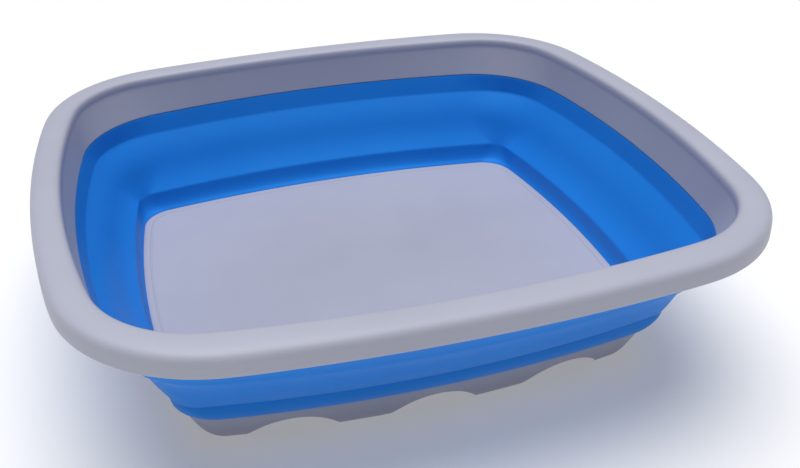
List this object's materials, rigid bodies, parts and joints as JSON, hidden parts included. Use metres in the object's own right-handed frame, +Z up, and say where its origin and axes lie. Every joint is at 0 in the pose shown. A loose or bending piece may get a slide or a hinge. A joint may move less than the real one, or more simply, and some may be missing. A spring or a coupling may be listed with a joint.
{
  "type": "collapsible washing-up bowl",
  "caption": "Rectangular bowl with bowed sides: a rigid rim and a footed tray joined by a rubber wall that folds flat when the rim is pushed down.",
  "frame": {"origin": "centre of the bowl's footprint, on the surface that its feet stand on", "axes": "+X along the long side, +Y along the short side, +Z up through the bowl's mouth"},
  "size_m": [0.401, 0.3712, 0.112],
  "materials": {
    "rim_plastic": "satin moulded plastic",
    "tray_plastic": "satin moulded plastic",
    "wall_rubber": "satin thermoplastic rubber"
  },
  "bodies": {
    "base": {"base_tray": "tray_plastic", "wall_lower_collar": "wall_rubber"},
    "rim": {"rim_frame": "rim_plastic", "wall_upper_collar": "wall_rubber"},
    "fold_1": {"wall_fold_ring_1": "wall_rubber"},
    "fold_2": {"wall_fold_ring_2": "wall_rubber"},
    "fold_3": {"wall_fold_ring_3": "wall_rubber"},
    "fold_4": {"wall_fold_ring_4": "wall_rubber"}
  },
  "joints": [
    {"name": "collapse", "type": "slide", "parent": "base", "child": "rim", "axis": [0, 0, -1], "range_m": [0, 0.06]},
    {"name": "fold_slide_1", "type": "slide", "parent": "base", "child": "fold_1", "axis": [0, 0, -1], "range_m": [0, 0.053]},
    {"name": "fold_slide_2", "type": "slide", "parent": "base", "child": "fold_2", "axis": [0, 0, -1], "range_m": [0, 0.038]},
    {"name": "fold_slide_3", "type": "slide", "parent": "base", "child": "fold_3", "axis": [0, 0, -1], "range_m": [0, 0.023]},
    {"name": "fold_slide_4", "type": "slide", "parent": "base", "child": "fold_4", "axis": [0, 0, -1], "range_m": [0, 0.008]}
  ],
  "couplings": [
    {"joint": "fold_slide_1", "follows": "collapse", "ratio": 0.875},
    {"joint": "fold_slide_2", "follows": "collapse", "ratio": 0.625},
    {"joint": "fold_slide_3", "follows": "collapse", "ratio": 0.375},
    {"joint": "fold_slide_4", "follows": "collapse", "ratio": 0.125}
  ]
}
